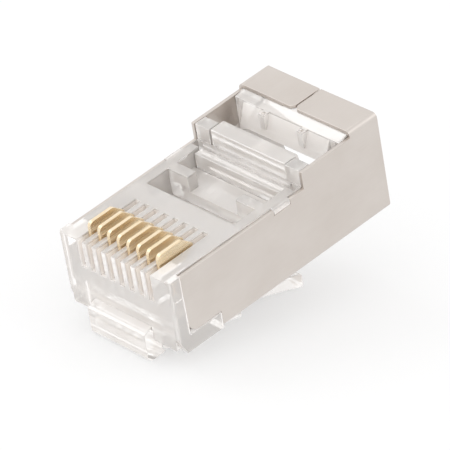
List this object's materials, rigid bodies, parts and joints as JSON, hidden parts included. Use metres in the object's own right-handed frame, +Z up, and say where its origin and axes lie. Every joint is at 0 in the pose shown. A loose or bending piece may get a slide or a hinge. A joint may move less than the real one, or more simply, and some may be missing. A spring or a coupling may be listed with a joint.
{
  "type": "rj45 modular plug",
  "caption": "Shielded RJ45 modular plug, not yet crimped: clear housing with a latch, gold contact blades standing proud and a folded nickel-plated shield.",
  "frame": {"origin": "on the table, under the middle of the plug's bounding box", "axes": "+Z up as the plug lies on its latch with the contacts up, +Y towards the cable end, +X across the plug"},
  "size_m": [0.0116, 0.0228, 0.0148],
  "materials": {
    "clear_polycarbonate": "clear, polished moulding",
    "nickel_plated_sheet": "satin nickel plating",
    "gold_plated_contact": "polished gold plating"
  },
  "bodies": {
    "plug_body": {"housing": "clear_polycarbonate", "shield": "nickel_plated_sheet"},
    "latch_lever": {"latch": "clear_polycarbonate"},
    "jacket_bar": {"crimp_bar": "clear_polycarbonate"},
    "wire_bar": {"wire_clamp_bar": "clear_polycarbonate"},
    "contact_1_blade": {"contact_1": "gold_plated_contact"},
    "contact_2_blade": {"contact_2": "gold_plated_contact"},
    "contact_3_blade": {"contact_3": "gold_plated_contact"},
    "contact_4_blade": {"contact_4": "gold_plated_contact"},
    "contact_5_blade": {"contact_5": "gold_plated_contact"},
    "contact_6_blade": {"contact_6": "gold_plated_contact"},
    "contact_7_blade": {"contact_7": "gold_plated_contact"},
    "contact_8_blade": {"contact_8": "gold_plated_contact"}
  },
  "joints": [
    {"name": "latch_hinge", "type": "hinge", "parent": "plug_body", "child": "latch_lever", "pos_m": [0, -0.00855, 0.00096], "axis": [1, 0, 0], "range_deg": [0, 11], "stiffness_Nm_per_rad": 0.1},
    {"name": "crimp_bar_hinge", "type": "hinge", "parent": "plug_body", "child": "jacket_bar", "pos_m": [0, 0.00265, 0.01065], "axis": [-1, 0, 0], "range_deg": [0, 38]},
    {"name": "wire_clamp_slide", "type": "slide", "parent": "plug_body", "child": "wire_bar", "axis": [0, 0.2474, -0.9689], "range_m": [0, 0.0008]},
    {"name": "contact_1_slide", "type": "slide", "parent": "plug_body", "child": "contact_1_blade", "axis": [0, 0.2474, -0.9689], "range_m": [0, 0.00115]},
    {"name": "contact_2_slide", "type": "slide", "parent": "plug_body", "child": "contact_2_blade", "axis": [0, 0.2474, -0.9689], "range_m": [0, 0.00115]},
    {"name": "contact_3_slide", "type": "slide", "parent": "plug_body", "child": "contact_3_blade", "axis": [0, 0.2474, -0.9689], "range_m": [0, 0.00115]},
    {"name": "contact_4_slide", "type": "slide", "parent": "plug_body", "child": "contact_4_blade", "axis": [0, 0.2474, -0.9689], "range_m": [0, 0.00115]},
    {"name": "contact_5_slide", "type": "slide", "parent": "plug_body", "child": "contact_5_blade", "axis": [0, 0.2474, -0.9689], "range_m": [0, 0.00115]},
    {"name": "contact_6_slide", "type": "slide", "parent": "plug_body", "child": "contact_6_blade", "axis": [0, 0.2474, -0.9689], "range_m": [0, 0.00115]},
    {"name": "contact_7_slide", "type": "slide", "parent": "plug_body", "child": "contact_7_blade", "axis": [0, 0.2474, -0.9689], "range_m": [0, 0.00115]},
    {"name": "contact_8_slide", "type": "slide", "parent": "plug_body", "child": "contact_8_blade", "axis": [0, 0.2474, -0.9689], "range_m": [0, 0.00115]}
  ]
}
